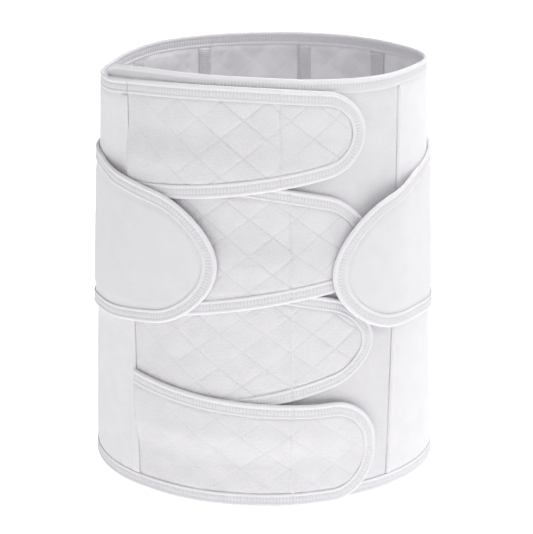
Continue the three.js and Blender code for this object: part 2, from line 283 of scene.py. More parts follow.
class Tongue:
    """A band or strap: a long piece with a round free end, sewn down at its root."""

    WIDEST_MARGIN = 40.0

    def __init__(self, row, root_at):
        self.row = row
        self.root_at = root_at
        self.root = float(root_at(HEIGHT * (row["top"][1] + row["low"][1]) / 2))
        self.side = math.copysign(1, row["tip"] - row["bend"])
        self.mid_height = HEIGHT * row["top"][1]

    def share(self, angle):
        return (angle - self.root) / (self.row["tip"] - self.root)

    def middle(self, angle):
        share = self.share(angle)
        return (parabola(self.row["top"], share) + parabola(self.row["low"], share)) / 2

    def depth(self, angle):
        share = self.share(angle)
        return (parabola(self.row["top"], share) - parabola(self.row["low"], share)) / 2

    def reach(self, inset):
        return abs(self.row["tip"] - self.row["bend"]) - np.degrees(inset / half_width(self.mid_height))

    def edge(self, p, inset):
        """Angle and height at an inset from the edge. p runs from the root's top at 0 to its foot at 4.

        The round end begins at 1, has its tip at 2 and ends at 3.
        """
        p, inset = np.broadcast_arrays(np.asarray(p, float), np.asarray(inset, float))
        near = np.minimum(p, 4 - p)
        sign = np.where(p <= 2, 1.0, -1.0)
        turn = np.clip(near - 1, 0, 1) * math.pi / 2
        straight = self.root + (self.row["bend"] - self.root) * np.minimum(near, 1)
        curved = self.row["bend"] + self.side * self.reach(inset) * np.sin(turn)
        angle = np.where(near > 1, curved, straight)
        z = self.middle(angle) + sign * (self.depth(angle) - inset) * np.cos(turn)
        slant = (self.root_at(z) - self.root) * np.maximum(1 - near, 0)
        return angle + slant, z

    def inside(self, angle, z):
        """Distance in from the edge, in millimetres, at a place on the cloth."""
        across = np.clip(self.side * (angle - self.row["bend"]) / self.reach(0), 0, 2)
        up = np.abs(z - self.middle(angle)) / self.depth(angle)
        share = np.hypot(across, up)
        return (1 - share) * np.minimum(self.depth(angle), self.WIDEST_MARGIN)

    def grid(self, step):
        """Angles and heights of a net over the cloth, columns from root to tip."""
        length = abs(along(self.row["bend"]) - along(self.root))
        straight = np.linspace(0, 1, int(length / step))[:-1]
        end = np.linspace(1, 2, int(1.5 * self.depth(self.row["bend"]) / step))
        p = np.concatenate([straight, end])[:, None]
        rows = np.linspace(0, 1, int(2 * self.depth(self.row["bend"]) / step))[None, :]
        top_angle, top_z = self.edge(p, CLOTH_INSET)
        low_angle, low_z = self.edge(4 - p, CLOTH_INSET)
        return low_angle + (top_angle - low_angle) * rows, low_z + (top_z - low_z) * rows


# Meshes

MERGE_WITHIN = 0.002
SHORTEST_EDGE = 0.001


def object_from(name, points, quads, uv, finish, pattern=None, marks=None):
    """A mesh piece that rides the body.

    uv is its flat cut in millimetres, finish a key of MATERIALS, pattern the repeats of what
    is sewn on it, and marks holds values for each point, by name, that its material reads.
    """
    name = f"soft_{name}"
    mesh = bpy.data.meshes.new(name)
    mesh.vertices.add(len(points))
    mesh.vertices.foreach_set("co", (points * MM).astype(np.float32).ravel())
    mesh.loops.add(quads.size)
    mesh.loops.foreach_set("vertex_index", quads.astype(np.int32).ravel())
    mesh.polygons.add(len(quads))
    mesh.polygons.foreach_set("loop_start", np.arange(len(quads), dtype=np.int32) * 4)
    layer = mesh.uv_layers.new(name="flat")
    layer.data.foreach_set("uv", (uv[quads.ravel()] * MM).astype(np.float32).ravel())
    if pattern is not None:
        repeats = mesh.uv_layers.new(name="pattern")
        repeats.data.foreach_set("uv", pattern[quads.ravel()].astype(np.float32).ravel())
    for mark, values in (marks or {}).items():
        stored = mesh.attributes.new(mark, "FLOAT", "POINT")
        stored.data.foreach_set("value", values.astype(np.float32))
    mesh.update(calc_edges=True)
    merge = bmesh.new()
    merge.from_mesh(mesh)
    bmesh.ops.remove_doubles(merge, verts=merge.verts, dist=MERGE_WITHIN * MM)
    bmesh.ops.dissolve_degenerate(merge, edges=merge.edges, dist=SHORTEST_EDGE * MM)
    merge.to_mesh(mesh)
    merge.free()
    mesh.shade_smooth()
    piece = bpy.data.objects.new(name, mesh)
    bpy.context.scene.collection.objects.link(piece)
    piece.data.materials.append(MATERIALS[finish])
    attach(piece, BODY)
    return piece


def cloth(name, angle, z, outer, inner, finish, node=None, marks=None):
    """A closed sheet over a net of places, from its outer to its inner face.

    marks holds a pair for each name: its values on the outer and on the inner face.
    """
    columns, rows = angle.shape
    count = columns * rows
    points = np.concatenate([place(angle, z, out).reshape(-1, 3) for out in (outer, inner)])
    flat = np.stack([along(angle), z], -1).reshape(-1, 2)
    number = np.arange(count).reshape(columns, rows)
    face = np.stack([number[:-1, :-1], number[1:, :-1], number[1:, 1:], number[:-1, 1:]], -1)
    face = face.reshape(-1, 4)
    ring = np.concatenate([number[:, 0], number[-1, 1:], number[-2::-1, -1], number[0, -2:0:-1]])
    after = np.roll(ring, -1)
    border = np.stack([ring, ring + count, after + count, after], -1)
    if angle[-1, 0] < angle[0, 0]:
        face, border = face[:, ::-1], border[:, ::-1]
    quads = np.concatenate([face, face[:, ::-1] + count, border])
    pattern = None
    if node is not None:
        across, up = quilt_repeats(flat[:, 0], flat[:, 1], node)
        pattern = np.tile(np.stack([across + up, across - up], -1), (2, 1))
    marks = {mark: np.concatenate([np.ravel(values + 0 * z) for values in pair])
             for mark, pair in (marks or {}).items()}
    return object_from(name, points, quads, np.tile(flat, (2, 1)), finish, pattern, marks)


def quilt_repeats(u, z, node):
    """Whole diamonds across and up from a crossing of the quilting."""
    return (u - along(node[0])) / DIAMOND_WIDTH, (z - HEIGHT * node[1]) / DIAMOND_HEIGHT


# The folded edge binding

# Its ribbed face and its plain face: inset from the edge, stand-out from the middle, and how far the
# ribs between its two stitch rows show there. Then the inside of the fold
BINDING_FACE = np.array([
    (10.0, 0.85, 0), (9.85, 1.1, 0), (9.4, 1.28, 0), (8.8, 1.32, 0), (8.2, 1.18, 0), (7.8, 0.92, 0),
    (7.45, 0.8, 0), (7.1, 0.94, 0.6), (6.6, 1.1, 1), (5.4, 1.16, 1), (4.3, 1.1, 1), (3.8, 0.94, 0.6),
    (3.45, 0.78, 0), (3.1, 0.96, 0), (2.6, 1.2, 0), (1.9, 1.4, 0), (1.2, 1.32, 0), (0.6, 1.0, 0),
    (0.2, 0.6, 0),
])
PLAIN_FACE = np.array([
    (0.2, 0.8, 0), (0.6, 1.1, 0), (1.6, 1.3, 0), (4.0, 1.15, 0), (8.0, 1.15, 0), (9.6, 1.3, 0),
    (10.0, 1.0, 0),
])
FOLD_INSIDE = np.array([(9.9, -0.7, 0), (1.2, -0.7, 0), (1.2, 0.7, 0), (9.9, 0.7, 0)])
INNER_SHARE = 0.88
RIB_DEPTH = 0.25
RIB_FLATNESS = 0.6
BINDING_SLACK = 0.06
SLACK_WAVE = 26
NOTCH_DEPTH = 0.5
NOTCH_REACH = 0.6
PATH_STEP = LADDER_PITCH / 5
PATH_SAMPLES = 4000
LADDER_ROWS = (3.5, 7.4)
LADDER_LEVEL = 0.72


def binding_section(both_faces):
    """The folded strip's closed outline: outer face, edge, inner face, then back inside the fold."""
    inner = BINDING_FACE[::-1] * (1, INNER_SHARE, 1) if both_faces else PLAIN_FACE
    return np.concatenate([BINDING_FACE, [(0.0, 0.0, 0)], inner * (1, -1, 1), FOLD_INSIDE])


def binding_path(edge, start, end):
    """Even steps along an edge: the edge's own parameter and the length from its start."""
    fine = np.linspace(start, end, PATH_SAMPLES)
    angle, z = edge(fine, BINDING_WIDTH / 2)
    points = place(angle, z, 0)
    lengths = np.concatenate([[0], np.cumsum(np.linalg.norm(np.diff(points, axis=0), axis=1))])
    steps = np.linspace(0, lengths[-1], int(lengths[-1] / PATH_STEP))
    return np.interp(steps, lengths, fine), steps


def make_binding(name, edge, start, end, level, notches=(), both_faces=False):
    """The folded edge binding along an edge. notches are angles of seams that cross it."""
    section = binding_section(both_faces)
    p, steps = binding_path(edge, start, end)
    inset, stand = section[None, :, 0], section[None, :, 1]
    facing = np.sign(stand)
    angle, z = edge(p[:, None], inset)
    groove = 1 - np.abs(np.sin(math.pi * steps / LADDER_PITCH)) ** RIB_FLATNESS
    slack = BINDING_SLACK * rumple(steps, 0 * steps, SLACK_WAVE, 3)
    stand = stand + facing * (slack[:, None] - RIB_DEPTH * groove[:, None] * section[None, :, 2])
    for notch in notches:
        away = (along(angle) - along(notch)) / NOTCH_REACH
        stand = stand - NOTCH_DEPTH * np.exp(-away ** 2) * (facing > 0)
    points = place(angle, z, level(angle, z) + stand)
    columns, rows = angle.shape
    number = np.arange(columns * rows).reshape(columns, rows)
    after = np.roll(number, -1, axis=1)
    sides = np.stack([number[:-1], number[1:], after[1:], after[:-1]], -1).reshape(-1, 4)
    across = np.concatenate([[0], np.cumsum(np.hypot(*np.diff(section[:, :2], axis=0).T))])
    uv = np.stack(np.broadcast_arrays(steps[:, None], across[None, :]), -1).reshape(-1, 2)
    flat_points = points.reshape(-1, 3)
    quads = sides if signed_volume(flat_points, sides) > 0 else sides[:, ::-1]
    repeats = np.broadcast_arrays(steps[:, None] / LADDER_PITCH, inset / BINDING_WIDTH)
    pattern = np.stack(repeats, -1).reshape(-1, 2)
    piece = object_from(name, flat_points, quads, uv, "binding", pattern)
    close_ends(piece)
    return piece, (p, steps)


def close_ends(piece):
    """Closes the cut ends of a swept piece."""
    ends = bmesh.new()
    ends.from_mesh(piece.data)
    open_edges = [edge for edge in ends.edges if edge.is_boundary]
    filled = bmesh.ops.holes_fill(ends, edges=open_edges, sides=0)
    bmesh.ops.triangulate(ends, faces=filled["faces"])
    bmesh.ops.recalc_face_normals(ends, faces=ends.faces)
    ends.to_mesh(piece.data)
    ends.free()


def signed_volume(points, quads):
    """Above zero where the quads face outwards."""
    a, b, c, d = (points[quads[:, k]] for k in range(4))
    return float((a * np.cross(b, c)).sum() + (a * np.cross(c, d)).sum())


# Sewing

class Thread:
    """Collects stitches, each a short spindle with its ends sunk, into one mesh."""

    SIDES = 6
    END_SIZE = 0.55
    END_SINK = 0.3
    MIDDLE_SINK = -0.12

    def __init__(self, name):
        self.name = name
        self.points = []
        self.quads = []
        self.count = 0

    def stitches(self, starts, ends, ups, thickness=THREAD):
        """Stitches between two lists of points, standing up along ups."""
        if not len(starts):
            return
        middle = (starts + ends) / 2
        run = ends - starts
        run /= np.linalg.norm(run, axis=1, keepdims=True)
        side = np.cross(run, ups)
        side /= np.linalg.norm(side, axis=1, keepdims=True)
        rings = []
        stations = ((starts, self.END_SIZE, self.END_SINK), (middle, 1.0, self.MIDDLE_SINK),
                    (ends, self.END_SIZE, self.END_SINK))
        for centre, size, sink in stations:
            for k in range(self.SIDES):
                turn = 2 * math.pi * k / self.SIDES
                around = np.cos(turn) * side + np.sin(turn) * ups
                rings.append(centre + around * thickness / 2 * size - ups * sink * thickness)
        verts = np.stack(rings, 1)

        # The sides between the three rings, then two faces on each end
        n = self.SIDES
        quads = [(r * n + k, r * n + (k + 1) % n, (r + 1) * n + (k + 1) % n, (r + 1) * n + k)
                 for r in range(2) for k in range(n)]
        quads += [(3, 2, 1, 0), (5, 4, 3, 0), (2 * n, 2 * n + 1, 2 * n + 2, 2 * n + 3),
                  (2 * n, 2 * n + 3, 2 * n + 4, 2 * n + 5)]
        offsets = self.count + np.arange(len(starts)) * verts.shape[1]
        self.quads.append((np.array(quads)[None] + offsets[:, None, None]).reshape(-1, 4))
        self.points.append(verts.reshape(-1, 3))
        self.count += verts.shape[0] * verts.shape[1]

    def line(self, surface, length, keep=None, stitch=STITCH, pitch=STITCH_PITCH, thickness=THREAD):
        """A row of stitches: surface(s) gives points and upward directions at lengths along the row."""
        middles = np.arange(pitch / 2, length, pitch)
        if keep is not None:
            middles = middles[keep(middles)]
        starts, ups = surface(middles - stitch / 2)
        ends, _ = surface(middles + stitch / 2)
        self.stitches(starts, ends, ups, thickness)

    def make(self):
        points = np.concatenate(self.points)
        quads = np.concatenate(self.quads)
        first_stitch = quads[:2 * self.SIDES + 4]
        if signed_volume(points, first_stitch) < 0:
            quads = quads[:, ::-1]
        return object_from(self.name, points, quads, points[:, [0, 2]], "thread")


def spot_with_up(angle, z, out, facing=1.0):
    """Points on the wrap and the way out of it there; facing is -1 on the inside."""
    points = place(angle, z, out)
    turn = np.radians(angle)
    ups = np.stack([DEPTH_SHARE * np.sin(turn), -np.cos(turn), 0 * turn], -1) * facing
    return points, ups / np.linalg.norm(ups, axis=-1, keepdims=True)


def binding_stitches(thread, edge, path, level, inner=False):
    """The two rows of stitches along a binding, in the grooves beside its ribs."""
    p, steps = path
    facing = -1.0 if inner else 1.0
    stand = (LADDER_LEVEL * INNER_SHARE if inner else LADDER_LEVEL) * facing

    def at(s, inset):
        angle, z = edge(np.interp(s, steps, p), inset)
        return spot_with_up(angle, z, level(angle, z) + stand, facing)

    for inset in LADDER_ROWS:
        row = functools.partial(at, inset=inset)
        thread.line(row, steps[-1], stitch=LADDER_STITCH, pitch=LADDER_PITCH)


# Materials

SHEEN = {"Sheen Weight": 0.25, "Sheen Roughness": 0.6, "Specular IOR Level": 0.25}
COOL_TINT = (0.0, -0.012, 0.015)

# A pair holds the two values between which a mask or a noise goes from none to full
MOTTLE_SIZE = 14
NAP_RANGE = (0.3, 0.7)
CELL_SHARE = 0.8
CREASE_BUMP = 0.12
# The quilting lines get painted shade as in their creases, darker on the stitches; the rising lines,
# along which the light runs, get only a share of it and of the bump
QUILT_LINE_EDGE = (0.8, 0.1)
SECOND_LINES = 0.7
DASH_EDGE = (0.05, 0.3)
DASH_SHARE = 0.6
TAPE_RIB_PITCH = 1.7
TAPE_RIB_EDGE = (0.4, 0.1)
# A binding gets painted shade between its ribs and over its stitched zone, and a painted highlight on its
# fold, as if lit from above
LADDER_GAP_EDGE = (0.25, 0.02)
LADDER_GAP_SHARE = 0.7
LADDER_OUTER_EDGE = (3.2, 3.8)
LADDER_INNER_EDGE = (7.6, 7.0)
FOLD_EDGE = (3.0, 1.6)
FOLD_PAINTED_HIGHLIGHT = 0.4
# The lining's blotches, and the painted light that sets how light the inner face is as a whole
LINING_BLOTCH_SIZE = 26
LINING_BLOTCH_RANGE = (0.34, 0.64)
LINING_BLOTCH = 0.14
LINING_PAINTED_LIGHT = 0.05


class Nodes:
    """Short way to add shader nodes with their values and links."""

    def __init__(self, name):
        self.material = bpy.data.materials.new(name)
        self.material.use_nodes = True
        self.tree = self.material.node_tree
        self.shader = self.tree.nodes["Principled BSDF"]

    def add(self, kind, **inputs):
        node = self.tree.nodes.new(kind)
        self.feed(node, inputs)
        return node

    def feed(self, node, inputs):
        for name, value in inputs.items():
            socket = node.inputs[int(name[1:])] if name[0] == "_" else node.inputs[name]
            if hasattr(value, "is_linked"):
                self.tree.links.new(value, socket)
            else:
                socket.default_value = value

    def math(self, operation, first, second=0.0, third=0.0):
        node = self.tree.nodes.new("ShaderNodeMath")
        node.operation = operation
        self.feed(node, {"_0": first, "_1": second, "_2": third})
        return node.outputs[0]

    def step(self, value, none, full):
        """0 on one side of none, 1 on the other side of full, smooth between them."""
        node = self.add("ShaderNodeMapRange")
        node.interpolation_type = "SMOOTHSTEP"
        turned = none > full
        self.feed(node, {"Value": value, "From Min": min(none, full), "From Max": max(none, full),
                         "To Min": 1.0 if turned else 0.0, "To Max": 0.0 if turned else 1.0})
        return node.outputs["Result"]

    def uv(self, name):
        node = self.tree.nodes.new("ShaderNodeUVMap")
        node.uv_map = name
        return node.outputs["UV"]

    def mark(self, name):
        """The values stored under a name in the mesh, 0 where it has none."""
        node = self.tree.nodes.new("ShaderNodeAttribute")
        node.attribute_name = name
        return node.outputs["Fac"]

    def noise(self, vector, size_mm, detail, roughness=0.5):
        node = self.add("ShaderNodeTexNoise", Vector=vector, Scale=1 / (size_mm * MM), Detail=detail,
                        Roughness=roughness)
        return node.outputs["Fac"]


def quilt_mask(nodes):
    """1 on a quilting line's stitches, less between them and where the quilting is faint, 0 beside it."""
    # The mask lays painted shade on the lines, as in their creases, darker on the sunken stitches; the
    # rising lines, which lie along the light, get less of it
    split = nodes.add("ShaderNodeSeparateXYZ", Vector=nodes.uv("pattern"))
    masks = []
    for line, run, share in (("X", "Y", 1.0), ("Y", "X", SECOND_LINES)):
        away = nodes.math("MULTIPLY", nodes.math("PINGPONG", split.outputs[line], 0.5), QUILT_SPACING)
        mask = nodes.math("MULTIPLY", nodes.step(away, *QUILT_LINE_EDGE), share)
        stitches = nodes.math("MULTIPLY", split.outputs[run], STITCHES_PER_DIAMOND)
        dash = nodes.step(nodes.math("PINGPONG", stitches, 0.5), *DASH_EDGE)
        dash = nodes.math("MULTIPLY_ADD", dash, DASH_SHARE, 1 - DASH_SHARE)
        masks.append(nodes.math("MULTIPLY", mask, dash))
    return nodes.math("MULTIPLY", nodes.math("MAXIMUM", *masks), nodes.mark("quilting"))


def rib_mask(nodes):
    """1 in the furrows of the woven ribs that cross a tape."""
    # The furrows get painted shade
    split = nodes.add("ShaderNodeSeparateXYZ", Vector=nodes.uv("flat"))
    rows = nodes.math("DIVIDE", split.outputs["Y"], TAPE_RIB_PITCH * MM)
    return nodes.step(nodes.math("PINGPONG", rows, 0.5), *TAPE_RIB_EDGE)


def ladder_mask(nodes):
    """1 between the ribs of a binding's stitching, where shade is painted, less on them, and below 0 on
    its smooth fold, where a highlight is painted.
    """
    split = nodes.add("ShaderNodeSeparateXYZ", Vector=nodes.uv("pattern"))
    gap = nodes.step(nodes.math("PINGPONG", split.outputs["X"], 0.5), *LADDER_GAP_EDGE)
    gap = nodes.math("MULTIPLY_ADD", gap, LADDER_GAP_SHARE, 1 - LADDER_GAP_SHARE)
    inset = nodes.math("MULTIPLY", split.outputs["Y"], BINDING_WIDTH)
    zone = nodes.math("MULTIPLY", nodes.step(inset, *LADDER_OUTER_EDGE),
                      nodes.step(inset, *LADDER_INNER_EDGE))
    ribs = nodes.math("MULTIPLY", gap, zone)
    # The fold gets a painted highlight, as if lit from above
    fold = nodes.math("MULTIPLY", nodes.step(inset, *FOLD_EDGE), FOLD_PAINTED_HIGHLIGHT)
    return nodes.math("SUBTRACT", ribs, fold)


def lining_tone(nodes, flat):
    """The padded lining is blotched light and dark, and its tone as a whole is set by painted light; the
    outer face isn't.
    """
    blotch = nodes.step(nodes.noise(flat, LINING_BLOTCH_SIZE, 2), *LINING_BLOTCH_RANGE)
    # Blotches, lifted or lowered as a whole by painted light for the inside
    shade = nodes.math("MULTIPLY_ADD", blotch, LINING_BLOTCH, LINING_PAINTED_LIGHT - LINING_BLOTCH)
    return nodes.math("ADD", nodes.math("MULTIPLY", nodes.mark("lining"), shade), 1.0)


def cloth_material(name, colour, grain, grain_depth, mottle=0.05, roughness=0.92, crease=None,
                   crease_shade=0.0, lined=False):
    """Brushed or knitted cloth.

    grain is the size of the nap's features in millimetres, grain_depth how far they stand up, mottle
    how far the tone varies, crease a mask of sewn lines and crease_shade how much painted shade darkens
    them, and lined says that the inner face is the padded lining, blotched and toned by painted light.
    """
    nodes = Nodes(name)
    nodes.feed(nodes.shader, {"Roughness": roughness, **SHEEN})
    flat = nodes.uv("flat")
    broad = nodes.noise(flat, MOTTLE_SIZE, 3)
    fine = nodes.noise(flat, grain, 4, 0.7)
    cells = nodes.add("ShaderNodeTexVoronoi", Vector=flat, Scale=1 / (grain * CELL_SHARE * MM))
    tone = nodes.math("MULTIPLY_ADD", nodes.step(broad, *NAP_RANGE), mottle / 2, 1 - mottle / 2)
    speck = nodes.math("MULTIPLY_ADD", nodes.step(fine, *NAP_RANGE), mottle, 1 - mottle)
    tone = nodes.math("MULTIPLY", tone, speck)
    height = nodes.math("MULTIPLY", nodes.math("ADD", fine, cells.outputs["Distance"]), grain_depth)
    if crease:
        # Painted shade in the mask's creases, and a painted highlight where the mask is below 0
        mask = crease(nodes)
        tone = nodes.math("MULTIPLY", tone, nodes.math("MULTIPLY_ADD", mask, -crease_shade, 1.0))
        height = nodes.math("SUBTRACT", height, nodes.math("MULTIPLY", mask, CREASE_BUMP))
    # The lining's blotches and the painted light of the inside
    if lined:
        tone = nodes.math("MULTIPLY", tone, lining_tone(nodes, flat))
    tint = nodes.tree.nodes.new("ShaderNodeVectorMath")
    tint.operation = "SCALE"
    nodes.feed(tint, {"Vector": colour, "Scale": tone})
    bump = nodes.add("ShaderNodeBump", Strength=1.0, Distance=MM, Height=height)
    nodes.feed(nodes.shader, {"Base Color": tint.outputs["Vector"], "Normal": bump.outputs["Normal"]})
    return nodes.material


def off_white(level):
    """The cool white of the whole set, at a reflectance."""
    return tuple(level + tint for tint in COOL_TINT)


# crease_shade is the painted shade that each cloth's crease mask lays on it: quilting lines, a binding's
# ribs, with a painted highlight on its fold, and a tape's furrows
MATERIALS = {
    "quilted": cloth_material("quilted_cloth", off_white(0.815), 1.2, 0.17, mottle=0.08,
                              crease=quilt_mask, crease_shade=0.13),
    "stretch": cloth_material("stretch_cloth", off_white(0.855), 0.8, 0.1, mottle=0.06,
                              crease=quilt_mask, crease_shade=0.06, lined=True),
    "loop": cloth_material("loop_cloth", off_white(0.8), 1.1, 0.14, mottle=0.08, lined=True),
    "strap": cloth_material("strap_cloth", off_white(0.8), 0.9, 0.07, mottle=0.05),
    "binding": cloth_material("binding_cloth", off_white(0.805), 0.5, 0.04, mottle=0.03, roughness=0.75,
                              crease=ladder_mask, crease_shade=0.13),
    "tape": cloth_material("channel_tape", off_white(0.73), 0.6, 0.08, mottle=0.1, crease=rib_mask,
                           crease_shade=0.09),
    "thread": cloth_material("thread", off_white(0.82), 0.3, 0.03, mottle=0.04, roughness=0.6),
}


# The camera stands as in the photograph

CAMERA_DISTANCE = 1058.0
CAMERA_HEIGHT = 487.0
CAMERA_TARGET_HEIGHT = 143.2
FOCAL_PIXELS = 1475.0
IMAGE_SIDE_PIXELS = 534.0
SENSOR_WIDTH = 36.0


def make_camera():
    data = bpy.data.cameras.new("camera")
    data.sensor_width = SENSOR_WIDTH
    data.lens = SENSOR_WIDTH * FOCAL_PIXELS / IMAGE_SIDE_PIXELS
    camera = bpy.data.objects.new("camera", data)
    bpy.context.scene.collection.objects.link(camera)
    camera.location = Vector((SHIFT_X, SHIFT_Y - CAMERA_DISTANCE, CAMERA_HEIGHT)) * MM
    target = Vector((SHIFT_X, SHIFT_Y, CAMERA_TARGET_HEIGHT)) * MM
    camera.rotation_euler = (target - camera.location).to_track_quat("-Z", "Y").to_euler()
    bpy.context.scene.camera = camera


# Studio, in metres

FLOOR_SIDE = 14.0
FLOOR_CENTRE = (0, 2, 0)
FLOOR_WHITE = 0.9
FLOOR_GLOW = 0.77
SKY_GLOW = 0.385
LAMPS = [
    {"name": "key", "stand": (0.9, -0.8, 1.2), "aim": (0, 0, 0.16), "side": 0.9, "power": 3.6},
    {"name": "fill", "stand": (-1.1, -1.1, 1.0), "aim": (0, 0, 0.15), "side": 1.3, "power": 2.6},
    {"name": "top", "stand": (0.25, -0.1, 1.6), "aim": (0, 0, 0.1), "side": 0.8, "power": 4.4},
    {"name": "opening", "stand": (0.1, 0, 0.85), "aim": (-0.09, 0.06, 0.27), "side": 0.25, "power": 0.7},
    {"name": "side", "stand": (0.6, 0.3, 1.15), "aim": (-0.07, 0.04, 0.27), "side": 0.5, "power": 3.2},
]


def make_lamp(name, stand, aim, side, power):
    """A square white lamp."""
    data = bpy.data.lights.new(name, "AREA")
    data.shape = "SQUARE"
    data.size = side
    data.energy = power
    light = bpy.data.objects.new(name, data)
    bpy.context.scene.collection.objects.link(light)
    light.location = stand
    light.rotation_euler = (Vector(aim) - Vector(stand)).to_track_quat("-Z", "Y").to_euler()


def make_studio():
    """A glowing white floor, an even sky and five lamps."""
    bpy.ops.mesh.primitive_plane_add(size=FLOOR_SIDE, location=FLOOR_CENTRE)
    floor = bpy.context.active_object
    floor.name = "floor"
    nodes = Nodes("white_floor")
    nodes.feed(nodes.shader, {"Base Color": (FLOOR_WHITE, FLOOR_WHITE, FLOOR_WHITE, 1), "Roughness": 1.0,
                              "Emission Color": (1, 1, 1, 1), "Emission Strength": FLOOR_GLOW})
    floor.data.materials.append(nodes.material)
    world = bpy.data.worlds.new("studio")
    bpy.context.scene.world = world
    world.use_nodes = True
    background = world.node_tree.nodes["Background"]
    background.inputs["Color"].default_value = (1, 1, 1, 1)
    background.inputs["Strength"].default_value = SKY_GLOW
    for lamp in LAMPS:
        make_lamp(**lamp)
    view = bpy.context.scene.view_settings
    view.view_transform = "Standard"
    view.look = "None"


# Body panels

PANEL_STEP = 2.2
PANEL_SWELL = 0.25
PANEL_WAVE = 60
SEAM_DIP = 0.3
SEAM_DIP_REACH = 1.6
PUCKER = 0.22
PUCKER_REACH = 9.0
PUCKER_WAVE = 9
PUCKER_STRETCH = 0.25
LINING_THICKNESS = 0.5
LINING_SWELL = 0.6
LINING_WAVE = 27

# How far past a binding the pressed cloth begins to thicken and is at its full thickness, and the same
# for the padding past the edge of a tape
CLOTH_OPENS = (0.1, 1.4)
PADDING_OPENS = (-1, 9)


def cloth_half(inside):
    """Half the cloth's thickness, pressed flat within the binding."""
    open_cloth = ramp(inside - BINDING_WIDTH, *CLOTH_OPENS)
    return PRESSED_CLOTH / 2 + (CLOTH - PRESSED_CLOTH) / 2 * open_cloth


def half_on_wrap(angle, z):
    """Half the wrap's thickness, thinner in its rim and hem."""
    return cloth_half(np.minimum(z, rim(angle) - z))


def puckers(u, inside, seed):
    """Small gathers that the binding pulls into the cloth beside it."""
    fade = np.exp(-np.maximum(inside - BINDING_WIDTH, 0) / PUCKER_REACH)
    return PUCKER * fade * rumple(u, PUCKER_STRETCH * inside, PUCKER_WAVE, seed)


def lining(u, z, seed):
    """How far the padded lining stands in from the plain cloth, flat under the tapes sewn on it."""
    near = from_quilt_line(u, z, LINING_NODE)
    crease = LINING_CREASE * np.exp(-(near / LINING_CREASE_REACH) ** 2)
    puff = LINING_PUFF * (1 - np.exp(-(near / PUFF_REACH) ** 2))
    swell = LINING_THICKNESS + LINING_SWELL * rumple(u, z, LINING_WAVE, seed + 5)
    open_cloth = 1.0
    for name, row in STRIPS.items():
        if row["face"] < 0:
            away = np.abs(u - along(strip_centre(name, z))) - row["width"] / 2
            open_cloth = open_cloth * ramp(away, *PADDING_OPENS)
    return (puff - crease + swell) * open_cloth


def make_panel(name, start_at, end_at, finish, seed):
    """A panel of the body between two edges, given as angles for each height."""
    width = along(end_at(HEIGHT / 2)) - along(start_at(HEIGHT / 2))
    share = np.linspace(0, 1, int(width / PANEL_STEP))[:, None]
    rows = np.linspace(0, 1, int(HEIGHT / PANEL_STEP))[None, :]
    angle = start_at(0) + (end_at(0) - start_at(0)) * share + 0 * rows
    z = CLOTH_INSET + (rim(angle) - 2 * CLOTH_INSET) * rows
    angle = start_at(z) + (end_at(z) - start_at(z)) * share
    inside = np.minimum(z, rim(angle) - z)
    half = half_on_wrap(angle, z)
    u = along(angle)
    side = np.minimum(u - along(start_at(z)), along(end_at(z)) - u)
    dip = SEAM_DIP * np.exp(-(side / SEAM_DIP_REACH) ** 2)
    soft = PANEL_SWELL * rumple(u, z, PANEL_WAVE, seed) + puckers(u, inside, seed)
    relief = soft * ramp(inside, *RELIEF["panel"]) - dip * ramp(inside, *RELIEF["seam"])
    middle = wrap_level(angle, z) + relief
    inner = middle - half
    if name != "front_underlap":
        inner = inner - lining(u, z, seed) * ramp(inside, *RELIEF["lining"])
    # The inner face takes the lining's blotches and painted light, and painted shade on its quilting
    # lines
    marks = {"lining": (0.0, 1.0), "quilting": (0.0, LINING_QUILTING)}
    piece = cloth(name, angle, z, middle + half, inner, finish, LINING_NODE, marks)
    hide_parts(name)
    return piece, angle, z


# Strips on the seams and inside the back: width, thickness, crown, stitch rows as shares of the width,
# and the face that they are sewn to, 1 outside and -1 inside
TAPE = {"width": 14.0, "thickness": 0.8, "crown": 0.1, "rows": (-0.38, 0.38), "face": -1}
CHANNEL = {"width": 11.0, "thickness": 1.6, "crown": 0.5, "rows": (-0.38, 0.38), "face": -1}
STRIPS = {
    "front_seam_strip_left": {"width": 8.0, "thickness": 0.8, "crown": 0.3, "rows": (), "face": 1},
    "front_seam_strip_right": {"width": 5.0, "thickness": 0.8, "crown": 0.45, "rows": (-0.3,), "face": 1},
    "back_seam_tape_left": TAPE,
    "back_seam_tape_right": TAPE,
    "boning_channel_left": CHANNEL,
    "boning_channel_right": CHANNEL,
}
STRIP_COLUMNS = 13
STRIP_ROWS = 140
LEFT_STRIP_INSET = 4.15
RIGHT_STRIP_INSET = 2.6

# A strip begins at an inset from the hem and the rim, and stands off its cloth by a gap. Its edges are
# thin, its body has a share of its thickness, and its ends are pressed down to a share of that
STRIP_END = 9.9
STRIP_GAP = 0.05
STRIP_EDGE = 0.12
STRIP_BODY = 0.6
STRIP_PRESS = {"least": 0.25, "none": 0.5, "full": 4.0}
STRIP_GROOVE = 0.3
STRIP_GROOVE_REACH = 0.8


def strip_centre(name, z):
    """Angle of a strip's middle line at a height."""
    side = 1 if name.endswith("left") else -1
    if name.startswith("back_seam_tape"):
        return BACK_CENTRE + side * BACK_SEAM_SPREAD + 0 * z
    if name.startswith("boning_channel"):
        return BACK_CENTRE + side * STAY_SPREAD + 0 * z
    if side > 0:
        return wrap_end(z) - np.degrees(LEFT_STRIP_INSET / half_width(z))
    return seam_angle(RIGHT_SEAM, z) + np.degrees(RIGHT_STRIP_INSET / half_width(z))


